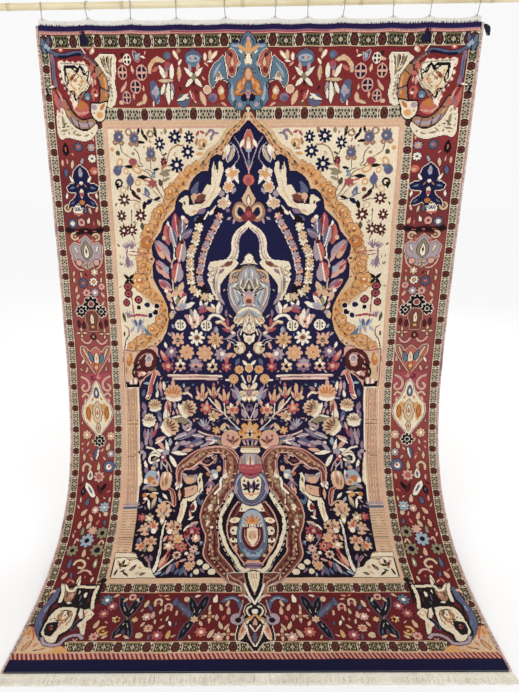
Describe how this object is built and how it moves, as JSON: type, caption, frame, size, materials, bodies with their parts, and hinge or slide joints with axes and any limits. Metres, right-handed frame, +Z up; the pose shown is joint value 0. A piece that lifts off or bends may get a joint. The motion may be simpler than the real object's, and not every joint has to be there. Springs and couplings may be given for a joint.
{
  "type": "persian rug on hanging rod",
  "caption": "Hand-knotted niche rug with a navy field and red floral border, hooked to a slim bamboo rod, its lower end sweeping forward to lie on the floor.",
  "frame": {"origin": "at floor level, in the middle of the box round the whole object", "axes": "+Z up along the hanging rug, -Y out of the pile side toward the viewer, +X to the viewer's right along the rod"},
  "size_m": [1.6, 0.7599, 1.7167],
  "materials": {
    "rug_pile": "matt knotted wool pile in navy, madder red, ivory, gold and salmon",
    "selvedge_wool": "overcast wool yarn, mauve pink",
    "cotton_web": "flat woven undyed cotton",
    "cotton_fringe": "undyed cotton warp ends",
    "navy_yarn": "loose navy wool yarn",
    "bamboo": "pale dry bamboo, satin",
    "hook_wire": "dull grey bent wire"
  },
  "bodies": {
    "root": {"rug": "rug_pile", "selvedge_left": "selvedge_wool", "selvedge_right": "selvedge_wool", "top_web": "cotton_web", "fringe_bottom": "cotton_fringe", "corner_tuft": "navy_yarn", "rod": "bamboo", "hook_01": "hook_wire", "hook_02": "hook_wire", "hook_03": "hook_wire", "hook_04": "hook_wire", "hook_05": "hook_wire", "hook_06": "hook_wire", "hook_07": "hook_wire", "hook_08": "hook_wire", "hook_09": "hook_wire", "hook_10": "hook_wire", "hook_11": "hook_wire"}
  },
  "joints": []
}
